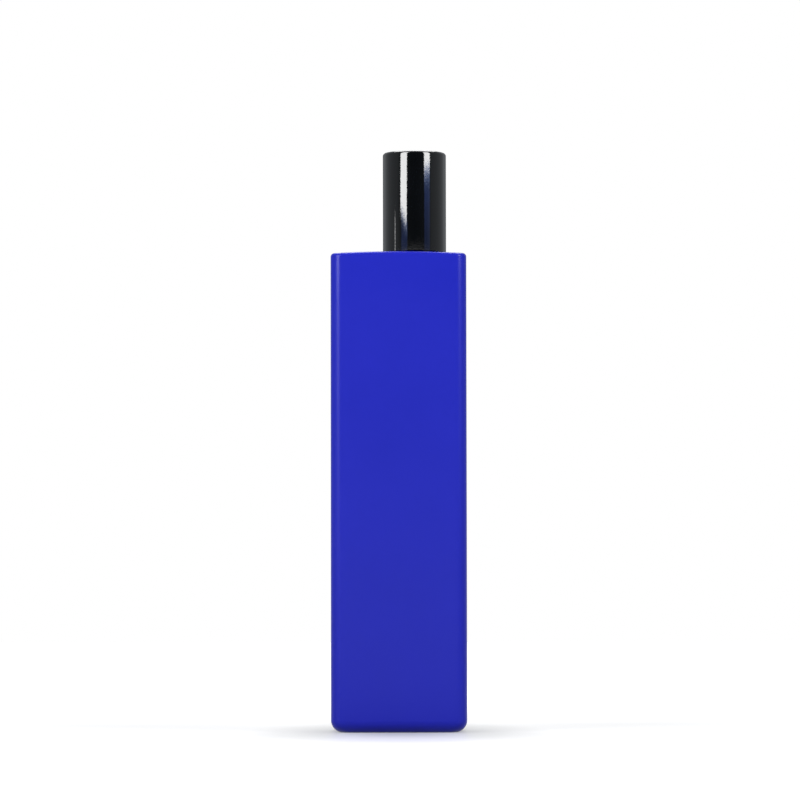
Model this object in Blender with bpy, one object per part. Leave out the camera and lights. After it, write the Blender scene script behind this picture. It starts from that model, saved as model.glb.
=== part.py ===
"""A square fine-mist spray bottle: thick glass, a crimped pump set off centre, and a pull-off cap.

The frame is +Z up with the front face towards -Y. The origin is the middle of the base.
Every piece on the pump's axis is modelled around its own z axis and hangs on one empty.
"""

import math

import bmesh
import bpy
from mathutils import Matrix, Vector

MM = 0.001

# ---- Glass bottle: driving sizes ----
BODY_WIDTH = 35.0 * MM
BODY_DEPTH = 35.0 * MM
SHOULDER_HEIGHT = 124.25 * MM  # top of the shoulder's shallow crown, in the middle
CROWN_DROP = 0.5 * MM  # from the crown's middle to the middle of a side
EDGE_RADIUS = 2.8 * MM  # the four upright edges
HEEL_RADIUS = 3.2 * MM
SHOULDER_RADIUS = 0.9 * MM
GLASS_WALL = 4.8 * MM
GLASS_FLOOR = 14.0 * MM
GLASS_ROOF = 5.0 * MM
CAVITY_EDGE_RADIUS = 3.0 * MM
CAVITY_FILLET = 2.5 * MM
PUSH_UP = 0.6 * MM  # the hollow under the base
REST_RIM = 4.5 * MM  # the flat band that the bottle stands on
NECK_OFFSET = 4.2 * MM  # the neck stands to the right of the middle
NECK_HEIGHT = 6.8 * MM
NECK_WALL = 1.9 * MM
BEAD_HEIGHT = 3.6 * MM
BEAD_STEP = 0.75 * MM  # how far the neck's waist is cut in under the bead
NECK_EASE = 0.5 * MM  # the flare at the neck's foot and the rounding of its rim

# ---- Clearances ----
SEAT_GAP = 0.3 * MM  # between faces that rest on each other
SLIDE_GAP = 0.15 * MM  # radial, between a sliding piece and its bore
LOOSE_GAP = 0.25 * MM  # radial, between a piece and a bore that it only passes through
NECK_GAP = 0.4 * MM  # radial, from the pump's barrel to the neck's bore
SKIN_GAP = 0.2 * MM  # radial, between two shells fixed together
CROWN_GAP = 0.45 * MM  # from the shoulder up to the cap's rim
GRIP_GAP = 0.1 * MM  # radial, from the cap's ribs to the ferrule
BALL_GAP = 0.05 * MM  # from the inlet ball to its seat

# ---- Pump: driving sizes ----
STROKE = 4.5 * MM
STEM_RADIUS = 1.7 * MM
STEM_BORE = 0.75 * MM
STEM_FOOT = 1.0 * MM  # thickness of the collar that stops the stem
STEM_TAIL = 4.8 * MM  # the stem below its collar
ROD_STOP = 0.8 * MM  # from the stem's collar down to where the valve rod stops
RETAINER_WALL = 1.2 * MM
RETAINER_SLEEVE = 3.0 * MM
RETAINER_RISE = 1.9 * MM  # above the ferrule
RETAINER_STEP = 0.25 * MM  # how far the retainer's neck stands out over its sleeve
BARREL_WALL = 0.8 * MM
BARREL_STEP = 0.9 * MM  # from the barrel's bore in to the spring chamber's
BARREL_SPARE = 0.9 * MM  # room under the piston at the end of its stroke
FLANGE = 0.8 * MM  # thickness of the gasket and of both pump flanges
FERRULE_SHEET = 0.3 * MM
VALVE_LIFT = 0.4 * MM
ROD_RADIUS = 0.9 * MM
ROD_HEAD = 2.3 * MM
ROD_SPIGOT = 1.0 * MM  # the rod's tip, inside the return spring
ROD_FLUTES = 4
PISTON_HEIGHT = 3.7 * MM
PISTON_WALL = 0.7 * MM
PISTON_LIP = 0.25 * MM
SPRING_ROOM = 9.7 * MM  # depth of the narrow chamber that holds the return spring
RETURN_WIRE = 0.45 * MM
RETURN_TURNS = 9
OUTLET_WIRE = 0.35 * MM
OUTLET_TURNS = 4
BALL_RADIUS = 1.0 * MM
BALL_LIFT = 0.9 * MM
BALL_THROAT = 0.7 * MM  # radius of the passage that the ball shuts
SEAT_DEPTH = 0.7 * MM
THROAT_LENGTH = 1.3 * MM
DIP_TUBE_RADIUS = 1.15 * MM
DIP_TUBE_BORE = 0.7 * MM
DIP_SOCKET = 5.5 * MM
DIP_CLEARANCE = 1.2 * MM  # from the tube's foot to the cavity floor
DIP_BEND = 1.4  # the power that its sideways reach grows with
END_CLOSING = 0.35  # how closely a spring's end turns lie, from 0 to 1

# ---- Spray button: driving sizes ----
BUTTON_RADIUS = 5.9 * MM
BUTTON_HEIGHT = 9.1 * MM
BUTTON_SKIRT = 1.0 * MM
BUTTON_EDGE = 0.5 * MM
SOCKET_DEPTH = 3.2 * MM
DISH_RADIUS = 4.7 * MM
DISH_DEPTH = 0.8 * MM
CHANNEL_RADIUS = 0.6 * MM
DUCT_RADIUS = 0.48 * MM
NOZZLE_RISE = 0.5 * MM  # from the stem's socket up to the nozzle's axis
NOZZLE_RADIUS = 1.85 * MM
NOZZLE_LENGTH = 2.2 * MM
NOZZLE_INSET = 0.15 * MM  # from the button's side in to the nozzle's face
NOZZLE_HOLLOW = 1.1 * MM  # radius of the swirl chamber behind the orifice
NOZZLE_FACE = 0.9 * MM  # thickness of the wall in front of the chamber
ORIFICE_RADIUS = 0.25 * MM
ORIFICE_MOUTH = 0.65 * MM  # radius of the countersink
ORIFICE_DEPTH = 0.3 * MM

# ---- Cap: driving sizes ----
CAP_HEADROOM = 0.6 * MM
LINER_WALL = 0.45 * MM
LINER_TOP = 0.6 * MM
LINER_STEP = 0.35 * MM  # the ledge that rests on the ferrule overlaps it by this much
LINER_EDGE = 0.4 * MM
RIB_DEPTH = 0.25 * MM
RIB_COUNT = 8
SHELL_WALL = 0.4 * MM
SHELL_TOP = 0.5 * MM
SHELL_EDGE = 0.8 * MM
SHELL_RIM = 0.12 * MM  # easing of the shell's lower edge

# ---- Fits, from the stem outwards ----
RETAINER_BORE = STEM_RADIUS + SLIDE_GAP
RETAINER_RADIUS = RETAINER_BORE + RETAINER_WALL
BARREL_BORE = RETAINER_RADIUS + LOOSE_GAP
BARREL_RADIUS = BARREL_BORE + BARREL_WALL
NECK_BORE = BARREL_RADIUS + NECK_GAP
BEAD_RADIUS = NECK_BORE + NECK_WALL
WAIST_RADIUS = BEAD_RADIUS - BEAD_STEP
FLANGE_RADIUS = BEAD_RADIUS - SKIN_GAP
FERRULE_BORE = BEAD_RADIUS + SLIDE_GAP
FERRULE_RADIUS = FERRULE_BORE + FERRULE_SHEET
RETAINER_NECK = RETAINER_RADIUS + RETAINER_STEP
FERRULE_HOLE = RETAINER_NECK + SEAT_GAP
RIB_RADIUS = FERRULE_RADIUS + GRIP_GAP
LINER_BORE = RIB_RADIUS + RIB_DEPTH
LINER_RADIUS = LINER_BORE + LINER_WALL
SHELL_BORE = LINER_RADIUS + SKIN_GAP
SHELL_RADIUS = SHELL_BORE + SHELL_WALL
SPRING_BORE = BARREL_BORE - BARREL_STEP
ROD_HEAD_RADIUS = SPRING_BORE - SEAT_GAP
PISTON_RADIUS = BARREL_BORE - SLIDE_GAP

# ---- Levels, from the neck's rim up and down ----
NECK_TOP = SHOULDER_HEIGHT + NECK_HEIGHT
BEAD_BOTTOM = NECK_TOP - BEAD_HEIGHT
GASKET_Z = NECK_TOP + SEAT_GAP
HOUSING_Z = GASKET_Z + FLANGE + SEAT_GAP
RETAINER_Z = HOUSING_Z + FLANGE + SEAT_GAP
FERRULE_Z = RETAINER_Z + FLANGE + SEAT_GAP
FERRULE_TOP = FERRULE_Z + FERRULE_SHEET
RETAINER_TOP = FERRULE_TOP + RETAINER_RISE
BUTTON_Z = FERRULE_TOP + SEAT_GAP + STROKE
SOCKET_Z = RETAINER_TOP + SEAT_GAP + STROKE
SOCKET_TOP = SOCKET_Z + SOCKET_DEPTH
BUTTON_TOP = BUTTON_Z + BUTTON_HEIGHT
NOZZLE_Z = SOCKET_TOP + NOZZLE_RISE
LINER_CEILING = BUTTON_TOP + CAP_HEADROOM
SHELL_CEILING = LINER_CEILING + LINER_TOP + SEAT_GAP
CAP_TOP = SHELL_CEILING + SHELL_TOP
CAP_RIM = SHOULDER_HEIGHT + CROWN_GAP
STEM_TOP = SOCKET_TOP - SEAT_GAP
FOOT_TOP = RETAINER_Z - RETAINER_SLEEVE - SEAT_GAP
FOOT_Z = FOOT_TOP - STEM_FOOT
STEM_Z = FOOT_Z - STEM_TAIL
PISTON_TOP = STEM_Z - VALVE_LIFT - SEAT_GAP
PISTON_Z = PISTON_TOP - PISTON_HEIGHT
HEAD_TOP = PISTON_Z - SEAT_GAP
HEAD_Z = HEAD_TOP - ROD_HEAD
BARREL_FLOOR = PISTON_Z - STROKE - BARREL_SPARE
SPRING_FLOOR = BARREL_FLOOR - SPRING_ROOM
SEAT_TOP = SPRING_FLOOR - BALL_LIFT - BALL_RADIUS
SEAT_Z = SEAT_TOP - SEAT_DEPTH
TUBE_STOP = SEAT_Z - THROAT_LENGTH
NIPPLE_Z = TUBE_STOP - DIP_SOCKET
CAVITY_TOP = SHOULDER_HEIGHT - GLASS_ROOF

# ---- The cavity's roof is rounded as far as the glass beside the neck's bore allows ----
ROOF_ROOM = BODY_WIDTH / 2 - GLASS_WALL - NECK_OFFSET - NECK_BORE - NECK_EASE
ROOF_FILLET = min(CAVITY_FILLET, ROOF_ROOM)

# ---- Mesh fineness ----
RING = 32  # points round the glass, the ferrule and the cap
FINE = 24  # points round the pump's inner pieces
CORNER_STEPS = 4  # facets in each upright edge of the glass
SIDE_POINTS = RING // 4 - CORNER_STEPS - 1
FILLET_STEPS = 3


def finish_material(name, colour, roughness, metallic=0.0):
    """A plain Principled material."""
    material = bpy.data.materials.new(name)
    material.use_nodes = True
    shader = material.node_tree.nodes["Principled BSDF"]
    shader.inputs["Base Color"].default_value = (*colour, 1.0)
    shader.inputs["Roughness"].default_value = roughness
    shader.inputs["Metallic"].default_value = metallic
    return material


def clear_scene():
    for obj in list(bpy.data.objects):
        bpy.data.objects.remove(obj, do_unlink=True)


def pump_axis():
    """The empty on the pump's axis that the neck's pieces hang on."""
    axis = bpy.data.objects.new("pump_axis", None)
    axis.location = (NECK_OFFSET, 0.0, 0.0)
    bpy.context.collection.objects.link(axis)
    return axis


def add_object(name, bm, material, parent=None, origin=(0.0, 0.0, 0.0)):
    """Puts a finished bmesh in the scene with its origin at origin, in its parent's space."""
    bmesh.ops.recalc_face_normals(bm, faces=bm.faces)
    bmesh.ops.translate(bm, verts=bm.verts, vec=-Vector(origin))
    mesh = bpy.data.meshes.new(name)
    bm.to_mesh(mesh)
    bm.free()
    mesh.materials.append(material)
    mesh.shade_smooth()
    mesh.set_sharp_from_angle(angle=math.radians(35))
    obj = bpy.data.objects.new(name, mesh)
    obj.parent = parent
    obj.location = origin
    bpy.context.collection.objects.link(obj)
    return obj


def arc(centre_r, centre_z, radius, start, end, steps=FILLET_STEPS):
    """Points on an arc of an outline, from start to end degrees."""
    angles = [math.radians(start + (end - start) * i / steps) for i in range(steps + 1)]
    return [(centre_r + radius * math.cos(a), centre_z + radius * math.sin(a)) for a in angles]


def turned(outline, steps, closed=True):
    """Spins an outline of (radius, z) points round the z axis. An open one starts and ends on it."""
    bm = bmesh.new()
    verts = [bm.verts.new((radius, 0.0, z)) for radius, z in outline]
    ends = verts[1:] + verts[:1] if closed else verts[1:]
    for first, second in zip(verts, ends):
        bm.edges.new((first, second))
    bmesh.ops.spin(
        bm,
        geom=bm.verts[:] + bm.edges[:],
        cent=(0.0, 0.0, 0.0),
        axis=(0.0, 0.0, 1.0),
        angle=2 * math.pi,
        steps=steps,
        use_merge=True,
    )
    bmesh.ops.remove_doubles(bm, verts=bm.verts, dist=0.001 * MM)
    return bm


def skin(rings, closed=False):
    """Joins rings of points into one surface. A ring of one point is a tip; a long one is capped."""
    bm = bmesh.new()
    loops = [[bm.verts.new(point) for point in ring] for ring in rings]
    following = loops[1:] + loops[:1] if closed else loops[1:]
    for lower, upper in zip(loops, following):
        count = max(len(lower), len(upper))
        for i in range(count):
            j = (i + 1) % count
            corners = [lower[i % len(lower)], lower[j % len(lower)]]
            corners += [upper[j % len(upper)], upper[i % len(upper)]]
            bm.faces.new(list(dict.fromkeys(corners)))
    if not closed:
        for end in (loops[0], loops[-1]):
            if len(end) > 1:
                bm.faces.new(end)
    return bm


def cut(target, tool_bm, name):
    """Cuts a closed bmesh out of an object, in that object's own space."""
    tool = add_object(name, tool_bm, target.data.materials[0], target)
    tool.hide_render = True
    tool.display_type = "WIRE"
    hole = target.modifiers.new(name, "BOOLEAN")
    hole.operation = "DIFFERENCE"
    hole.solver = "EXACT"
    hole.object = tool


def square_ring(inset, radius, height):
    """A rounded square ring, inset from the glass's sides. height is a level or a function of x, y."""
    half_x = BODY_WIDTH / 2 - inset
    half_y = BODY_DEPTH / 2 - inset
    points = []
    for corner in range(4):
        sign_x = (1, -1, -1, 1)[corner]
        sign_y = (1, 1, -1, -1)[corner]
        centre = Vector((sign_x * (half_x - radius), sign_y * (half_y - radius)))
        for step in range(CORNER_STEPS + 1):
            angle = math.radians(90 * (corner + step / CORNER_STEPS))
            points.append(centre + radius * Vector((math.cos(angle), math.sin(angle))))
        last = points[-1]
        turn = math.radians(90 * (corner + 1))
        along = Vector((-math.sin(turn), math.cos(turn)))
        length = 2 * ((half_x if corner % 2 == 0 else half_y) - radius)
        for step in range(1, SIDE_POINTS + 1):
            points.append(last + along * (length * step / (SIDE_POINTS + 1)))
    if callable(height):
        return [(p.x, p.y, height(p.x, p.y)) for p in points]
    return [(p.x, p.y, height) for p in points]


def neck_ring(radius, height):
    """A round ring on the neck's axis, its points in step with those of square_ring."""
    first = math.pi / 4 - CORNER_STEPS / 2 * 2 * math.pi / RING
    ring = []
    for i in range(RING):
        angle = first + i * 2 * math.pi / RING
        x = NECK_OFFSET + radius * math.cos(angle)
        y = radius * math.sin(angle)
        ring.append((x, y, height(x, y) if callable(height) else height))
    return ring


def blend_rings(start, end, steps, height):
    """The rings between two rings, at the heights that a function of x, y gives."""
    rings = []
    for step in range(1, steps):
        share = step / steps
        mixed = [Vector(a).lerp(Vector(b), share) for a, b in zip(start, end)]
        rings.append([(p.x, p.y, height(p.x, p.y)) for p in mixed])
    return rings


def crown(x, y):
    """Height of the shoulder's shallow dome."""
    across = (2 * x / BODY_WIDTH) ** 2 + (2 * y / BODY_DEPTH) ** 2
    return SHOULDER_HEIGHT - CROWN_DROP * across


def inner_radius(radius, inset):
    """The radius of a corner seen further in, kept above nothing."""
    return max(radius - inset, 0.25 * MM)


def base_rings():
    """From the middle of the base out to the foot of the walls."""
    hollow = HEEL_RADIUS + REST_RIM
    rings = [[(0.0, 0.0, PUSH_UP)]]
    rings.append(square_ring(hollow + PUSH_UP, 2 * EDGE_RADIUS, PUSH_UP))
    rings.append(square_ring(hollow, 2 * EDGE_RADIUS, 0.0))
    for step in range(FILLET_STEPS + 1):
        angle = math.pi / 2 * step / FILLET_STEPS
        inset = HEEL_RADIUS * (1 - math.sin(angle))
        level = HEEL_RADIUS * (1 - math.cos(angle))
        rings.append(square_ring(inset, EDGE_RADIUS, level))
    return rings


def shoulder_rings():
    """From the top of the walls over the shoulder to the foot of the neck."""
    rings = []
    for step in range(FILLET_STEPS + 1):
        angle = math.pi / 2 * step / FILLET_STEPS
        inset = SHOULDER_RADIUS * (1 - math.cos(angle))
        drop = SHOULDER_RADIUS * (1 - math.sin(angle))
        corner = inner_radius(EDGE_RADIUS, inset)
        rings.append(square_ring(inset, corner, lambda x, y, d=drop: crown(x, y) - d))
    foot = neck_ring(WAIST_RADIUS + NECK_EASE, crown)
    return rings + blend_rings(rings[-1], foot, 4, crown) + [foot]


def neck_rings():
    """Up the outside of the neck, over its rim and down the bore."""
    outline = [
        (WAIST_RADIUS + NECK_EASE / 4, SHOULDER_HEIGHT + NECK_EASE / 2),
        (WAIST_RADIUS, SHOULDER_HEIGHT + NECK_EASE),
        (WAIST_RADIUS, BEAD_BOTTOM - BEAD_STEP),
        (BEAD_RADIUS, BEAD_BOTTOM),
        (BEAD_RADIUS, NECK_TOP - NECK_EASE),
        (BEAD_RADIUS - NECK_EASE, NECK_TOP),
        (NECK_BORE + NECK_EASE / 2, NECK_TOP),
        (NECK_BORE, NECK_TOP - NECK_EASE / 2),
        (NECK_BORE, CAVITY_TOP + NECK_EASE),
        (NECK_BORE + NECK_EASE, CAVITY_TOP),
    ]
    return [neck_ring(radius, level) for radius, level in outline]


def cavity_rings():
    """From under the neck out, down the inner walls and over the floor."""

    def fillet(radius, step):
        """How far in, how round and how far from its end face a ring of a rounded end lies."""
        angle = math.pi / 2 * step / FILLET_STEPS
        inset = radius * (1 - math.sin(angle))
        corner = inner_radius(CAVITY_EDGE_RADIUS, inset)
        return GLASS_WALL + inset, corner, radius * (1 - math.cos(angle))

    steps = range(FILLET_STEPS + 1)
    roof = [fillet(ROOF_FILLET, step) for step in steps]
    floor = [fillet(CAVITY_FILLET, step) for step in reversed(steps)]
    rings = [square_ring(inset, corner, CAVITY_TOP - drop) for inset, corner, drop in roof]
    rings += [square_ring(inset, corner, GLASS_FLOOR + rise) for inset, corner, rise in floor]
    return rings + [[(0.0, 0.0, GLASS_FLOOR)]]


def make_glass_bottle(material):
    rings = base_rings() + shoulder_rings() + neck_rings() + cavity_rings()
    return add_object("glass_bottle", skin(rings), material)


def make_neck_gasket(material, axis):
    inner = BARREL_RADIUS + SEAT_GAP
    top = GASKET_Z + FLANGE
    outline = [
        (inner, GASKET_Z),
        (FLANGE_RADIUS, GASKET_Z),
        (FLANGE_RADIUS, top),
        (inner, top),
    ]
    return add_object("neck_gasket", turned(outline, RING), material, axis, (0, 0, GASKET_Z))


def make_crimp_ferrule(material, axis):
    """A thin cup over the neck's bead, its lip turned in underneath."""
    lip_z = BEAD_BOTTOM - BEAD_STEP - FERRULE_SHEET
    lip_r = WAIST_RADIUS + BEAD_STEP / 2 + SLIDE_GAP
    bend = 0.4 * MM
    edge = 0.1 * MM
    outline = [(FERRULE_HOLE, FERRULE_Z), (FERRULE_BORE - bend, FERRULE_Z)]
    outline += [(FERRULE_BORE, FERRULE_Z - bend), (FERRULE_BORE, BEAD_BOTTOM - bend / 2)]
    outline += [(lip_r, lip_z + bend / 2), (lip_r + edge, lip_z)]
    outline += [(FERRULE_RADIUS - edge, lip_z + bend)]
    outline += [(FERRULE_RADIUS, BEAD_BOTTOM - FERRULE_SHEET)]
    outline += arc(FERRULE_RADIUS - bend, FERRULE_TOP - bend, bend, 0, 90)
    outline += [(FERRULE_HOLE, FERRULE_TOP)]
    return add_object("crimp_ferrule", turned(outline, RING), material, axis, (0, 0, FERRULE_Z))


def make_pump_housing(material, axis):
    """The stepped tube that holds the pump, from its flange down to the dip tube's nipple."""
    nipple = DIP_TUBE_RADIUS + SLIDE_GAP + BARREL_WALL
    ball_room = BALL_RADIUS + SEAT_GAP
    top = HOUSING_Z + FLANGE
    narrow = SPRING_BORE + BARREL_WALL
    bevel = 0.4 * MM
    outline = [
        (BARREL_BORE, top),
        (BARREL_BORE, BARREL_FLOOR + bevel),
        (SPRING_BORE, BARREL_FLOOR),
        (SPRING_BORE, SPRING_FLOOR),
        (ball_room, SPRING_FLOOR),
        (ball_room, SEAT_TOP),
        (BALL_THROAT, SEAT_Z),
        (BALL_THROAT, TUBE_STOP),
        (DIP_TUBE_RADIUS + SLIDE_GAP, TUBE_STOP),
        (DIP_TUBE_RADIUS + SLIDE_GAP, NIPPLE_Z),
        (nipple, NIPPLE_Z),
        (nipple, SEAT_Z - bevel),
        (narrow, SPRING_FLOOR - BARREL_WALL),
        (narrow, BARREL_FLOOR - BARREL_WALL),
        (BARREL_RADIUS, BARREL_FLOOR),
        (BARREL_RADIUS, HOUSING_Z),
        (FLANGE_RADIUS, HOUSING_Z),
        (FLANGE_RADIUS, top),
    ]
    return add_object("pump_housing", turned(outline, FINE), material, axis, (0, 0, HOUSING_Z))


def make_stem_retainer(material, axis):
    """The insert that guides the stem and stops it: a sleeve, a flange and a short neck."""
    flange = BARREL_RADIUS + RETAINER_WALL
    sleeve_z = RETAINER_Z - RETAINER_SLEEVE
    ease = 0.3 * MM
    outline = [
        (RETAINER_BORE, sleeve_z),
        (RETAINER_RADIUS, sleeve_z),
        (RETAINER_RADIUS, RETAINER_Z),
        (flange, RETAINER_Z),
        (flange, RETAINER_Z + FLANGE),
        (RETAINER_NECK, RETAINER_Z + FLANGE),
        (RETAINER_NECK, RETAINER_TOP - ease),
        (RETAINER_NECK - ease, RETAINER_TOP),
        (RETAINER_BORE, RETAINER_TOP),
    ]
    return add_object("stem_retainer", turned(outline, FINE), material, axis, (0, 0, RETAINER_Z))


def make_stem(material, axis):
    """The tube that carries the button above and the valve rod below."""
    foot = BARREL_BORE - 2 * SEAT_GAP
    tail_bore = ROD_RADIUS + SEAT_GAP
    stop = FOOT_Z - ROD_STOP
    ease = 0.2 * MM
    outline = [
        (STEM_BORE, STEM_TOP),
        (STEM_BORE, stop),
        (tail_bore, stop),
        (tail_bore, STEM_Z),
        (STEM_RADIUS, STEM_Z),
        (STEM_RADIUS, FOOT_Z),
        (foot, FOOT_Z),
        (foot, FOOT_TOP),
        (STEM_RADIUS, FOOT_TOP),
        (STEM_RADIUS, STEM_TOP - ease),
        (STEM_RADIUS - ease, STEM_TOP),
    ]
    return add_object("stem", turned(outline, FINE), material, axis, (0, 0, STEM_TOP))


def make_valve_rod(material, axis):
    """The rod under the stem. Its top is fluted to pass liquid, and its head shuts the piston."""
    plug = ROD_RADIUS + SLIDE_GAP
    plug_top = FOOT_Z - ROD_STOP - SEAT_GAP

    def fluted(level, depth):
        ring = []
        for i in range(FINE):
            angle = 2 * math.pi * i / FINE
            radius = plug - depth * (1 - math.cos(ROD_FLUTES * angle)) / 2
            ring.append((radius * math.cos(angle), radius * math.sin(angle), level))
        return ring

    def round_ring(radius, level):
        turns = [2 * math.pi * i / FINE for i in range(FINE)]
        return [(radius * math.cos(a), radius * math.sin(a), level) for a in turns]

    cone = ROD_HEAD_RADIUS - ROD_RADIUS
    rings = [fluted(plug_top, 2 * SLIDE_GAP), fluted(STEM_Z + SEAT_GAP, 2 * SLIDE_GAP)]
    rings += [round_ring(ROD_RADIUS, STEM_Z), round_ring(ROD_RADIUS, HEAD_TOP)]
    rings += [round_ring(ROD_HEAD_RADIUS, HEAD_TOP - cone), round_ring(ROD_HEAD_RADIUS, HEAD_Z)]
    rings += [round_ring(ROD_RADIUS, HEAD_Z), round_ring(ROD_RADIUS, HEAD_Z - ROD_SPIGOT)]
    return add_object("valve_rod", skin(rings), material, axis, (0, 0, HEAD_TOP))


def make_piston(material, axis):
    """A sleeve on the valve rod with a thin lip at each end against the barrel."""
    bore = ROD_RADIUS + LOOSE_GAP
    core = bore + PISTON_WALL
    waist = (PISTON_Z + PISTON_TOP) / 2
    overhang = 0.2 * MM
    outline = [
        (bore, PISTON_TOP),
        (bore, PISTON_Z),
        (core, PISTON_Z),
        (PISTON_RADIUS - PISTON_LIP, PISTON_Z - overhang),
        (PISTON_RADIUS, PISTON_Z - overhang),
        (core + PISTON_LIP, waist - PISTON_LIP),
        (core + PISTON_LIP, waist + PISTON_LIP),
        (PISTON_RADIUS, PISTON_TOP - overhang / 2),
        (PISTON_RADIUS - PISTON_LIP, PISTON_TOP),
    ]
    return add_object("piston", turned(outline, FINE), material, axis, (0, 0, PISTON_Z))


def coil(mean_radius, wire, low, high, turns):
    """A compression spring between two levels, its end turns closed up."""
    per_turn = 12
    sides = 5
    count = per_turn * turns
    span = high - low - wire
    rings = []
    for i in range(count + 1):
        share = i / count
        pitch = share - math.sin(2 * math.pi * share) / (2 * math.pi) * END_CLOSING
        angle = 2 * math.pi * turns * share
        out = Vector((math.cos(angle), math.sin(angle), 0.0))
        centre = out * mean_radius + Vector((0.0, 0.0, low + wire / 2 + span * pitch))
        ring = []
        for side in range(sides):
            around = 2 * math.pi * side / sides
            offset = out * math.cos(around) + Vector((0.0, 0.0, math.sin(around)))
            ring.append(centre + offset * wire / 2)
        rings.append(ring)
    return skin(rings)


def make_return_spring(material, axis):
    mean = SPRING_BORE - SEAT_GAP - RETURN_WIRE / 2
    low = SPRING_FLOOR + SEAT_GAP
    bm = coil(mean, RETURN_WIRE, low, HEAD_Z - SEAT_GAP, RETURN_TURNS)
    return add_object("return_spring", bm, material, axis, (0, 0, low))


def make_outlet_spring(material, axis):
    mean = STEM_RADIUS + SLIDE_GAP + OUTLET_WIRE / 2
    high = FOOT_Z - SEAT_GAP
    bm = coil(mean, OUTLET_WIRE, PISTON_TOP + SEAT_GAP, high, OUTLET_TURNS)
    return add_object("outlet_spring", bm, material, axis, (0, 0, high))


def seated_ball_height():
    """Where the ball's centre lies when it rests on the conical seat."""
    room = BALL_RADIUS + SEAT_GAP
    slope = math.atan2(SEAT_DEPTH, room - BALL_THROAT)
    reach = BALL_RADIUS + BALL_GAP
    return SEAT_Z + (reach - BALL_THROAT * math.sin(slope)) / math.cos(slope)


def make_inlet_ball(material, axis):
    centre = seated_ball_height()
    outline = arc(0.0, centre, BALL_RADIUS, -90, 90, 8)
    outline = [(max(radius, 0.0), level) for radius, level in outline]
    outline[0] = (0.0, outline[0][1])
    outline[-1] = (0.0, outline[-1][1])
    bm = turned(outline, 16, closed=False)
    return add_object("inlet_ball", bm, material, axis, (0, 0, centre))


def make_dip_tube(material, axis):
    """A soft tube, straight in its socket, then bending to the side of the bottle's floor."""
    high = TUBE_STOP - SEAT_GAP
    bend = NIPPLE_Z
    low = GLASS_FLOOR + DIP_CLEARANCE
    reach = BODY_WIDTH / 2 - GLASS_WALL - 2 * DIP_TUBE_RADIUS - NECK_OFFSET
    stops = 12
    centres = [Vector((0.0, 0.0, high))]
    for i in range(stops + 1):
        share = i / stops
        centres.append(Vector((reach * share**DIP_BEND, 0.0, bend + (low - bend) * share)))
    sides = 12

    def ring(index, radius):
        ahead = centres[min(index + 1, len(centres) - 1)]
        behind = centres[max(index - 1, 0)]
        along = (ahead - behind).normalized()
        if index in (0, len(centres) - 1):
            along = Vector((0.0, 0.0, -1.0))
        side = Vector((0.0, 1.0, 0.0))
        other = along.cross(side)
        turns = [2 * math.pi * i / sides for i in range(sides)]
        return [centres[index] + (side * math.cos(a) + other * math.sin(a)) * radius for a in turns]

    order = range(len(centres))
    rings = [ring(i, DIP_TUBE_RADIUS) for i in order]
    rings += [ring(i, DIP_TUBE_BORE) for i in reversed(order)]
    return add_object("dip_tube", skin(rings, closed=True), material, axis, (0, 0, high))


def make_spray_button(material, axis):
    """The finger button: a skirted core with a socket for the stem and a pocket for the nozzle."""
    recess = BUTTON_RADIUS - BUTTON_SKIRT
    socket = STEM_RADIUS + SLIDE_GAP
    duct_top = NOZZLE_Z + CHANNEL_RADIUS / 2
    dish_sphere = (DISH_RADIUS**2 + DISH_DEPTH**2) / (2 * DISH_DEPTH)
    dish_half = math.degrees(math.asin(DISH_RADIUS / dish_sphere))
    dish_centre = BUTTON_TOP - DISH_DEPTH + dish_sphere
    outline = [(0.0, duct_top), (CHANNEL_RADIUS, duct_top), (CHANNEL_RADIUS, SOCKET_TOP)]
    outline += [(socket, SOCKET_TOP), (socket, SOCKET_Z), (recess, SOCKET_Z), (recess, BUTTON_Z)]
    outline += [(BUTTON_RADIUS, BUTTON_Z)]
    outline += arc(BUTTON_RADIUS - BUTTON_EDGE, BUTTON_TOP - BUTTON_EDGE, BUTTON_EDGE, 0, 90)
    outline += arc(0.0, dish_centre, dish_sphere, -90 + dish_half, -90, 4)
    outline[-1] = (0.0, BUTTON_TOP - DISH_DEPTH)
    bm = turned(outline, RING, closed=False)
    button = add_object("spray_button", bm, material, axis, (0, 0, BUTTON_Z))
    level = NOZZLE_Z - BUTTON_Z
    pocket = NOZZLE_RADIUS + SLIDE_GAP
    depth = NOZZLE_LENGTH + SEAT_GAP
    overrun = 1.0 * MM
    front = -BUTTON_RADIUS
    cut(button, rod_along_y(pocket, front - overrun, front + depth, level), "pocket")
    cut(button, rod_along_y(DUCT_RADIUS, front, 0.0, level), "duct")
    return button


def rod_along_y(radius, start, end, level):
    """A round rod along y at a level, for cutting with."""
    bm = bmesh.new()
    bmesh.ops.create_cone(
        bm,
        cap_ends=True,
        segments=FINE,
        radius1=radius,
        radius2=radius,
        depth=end - start,
    )
    bmesh.ops.rotate(bm, verts=bm.verts, matrix=Matrix.Rotation(math.pi / 2, 3, "X"))
    bmesh.ops.translate(bm, verts=bm.verts, vec=(0.0, (start + end) / 2, level))
    return bm


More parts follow.
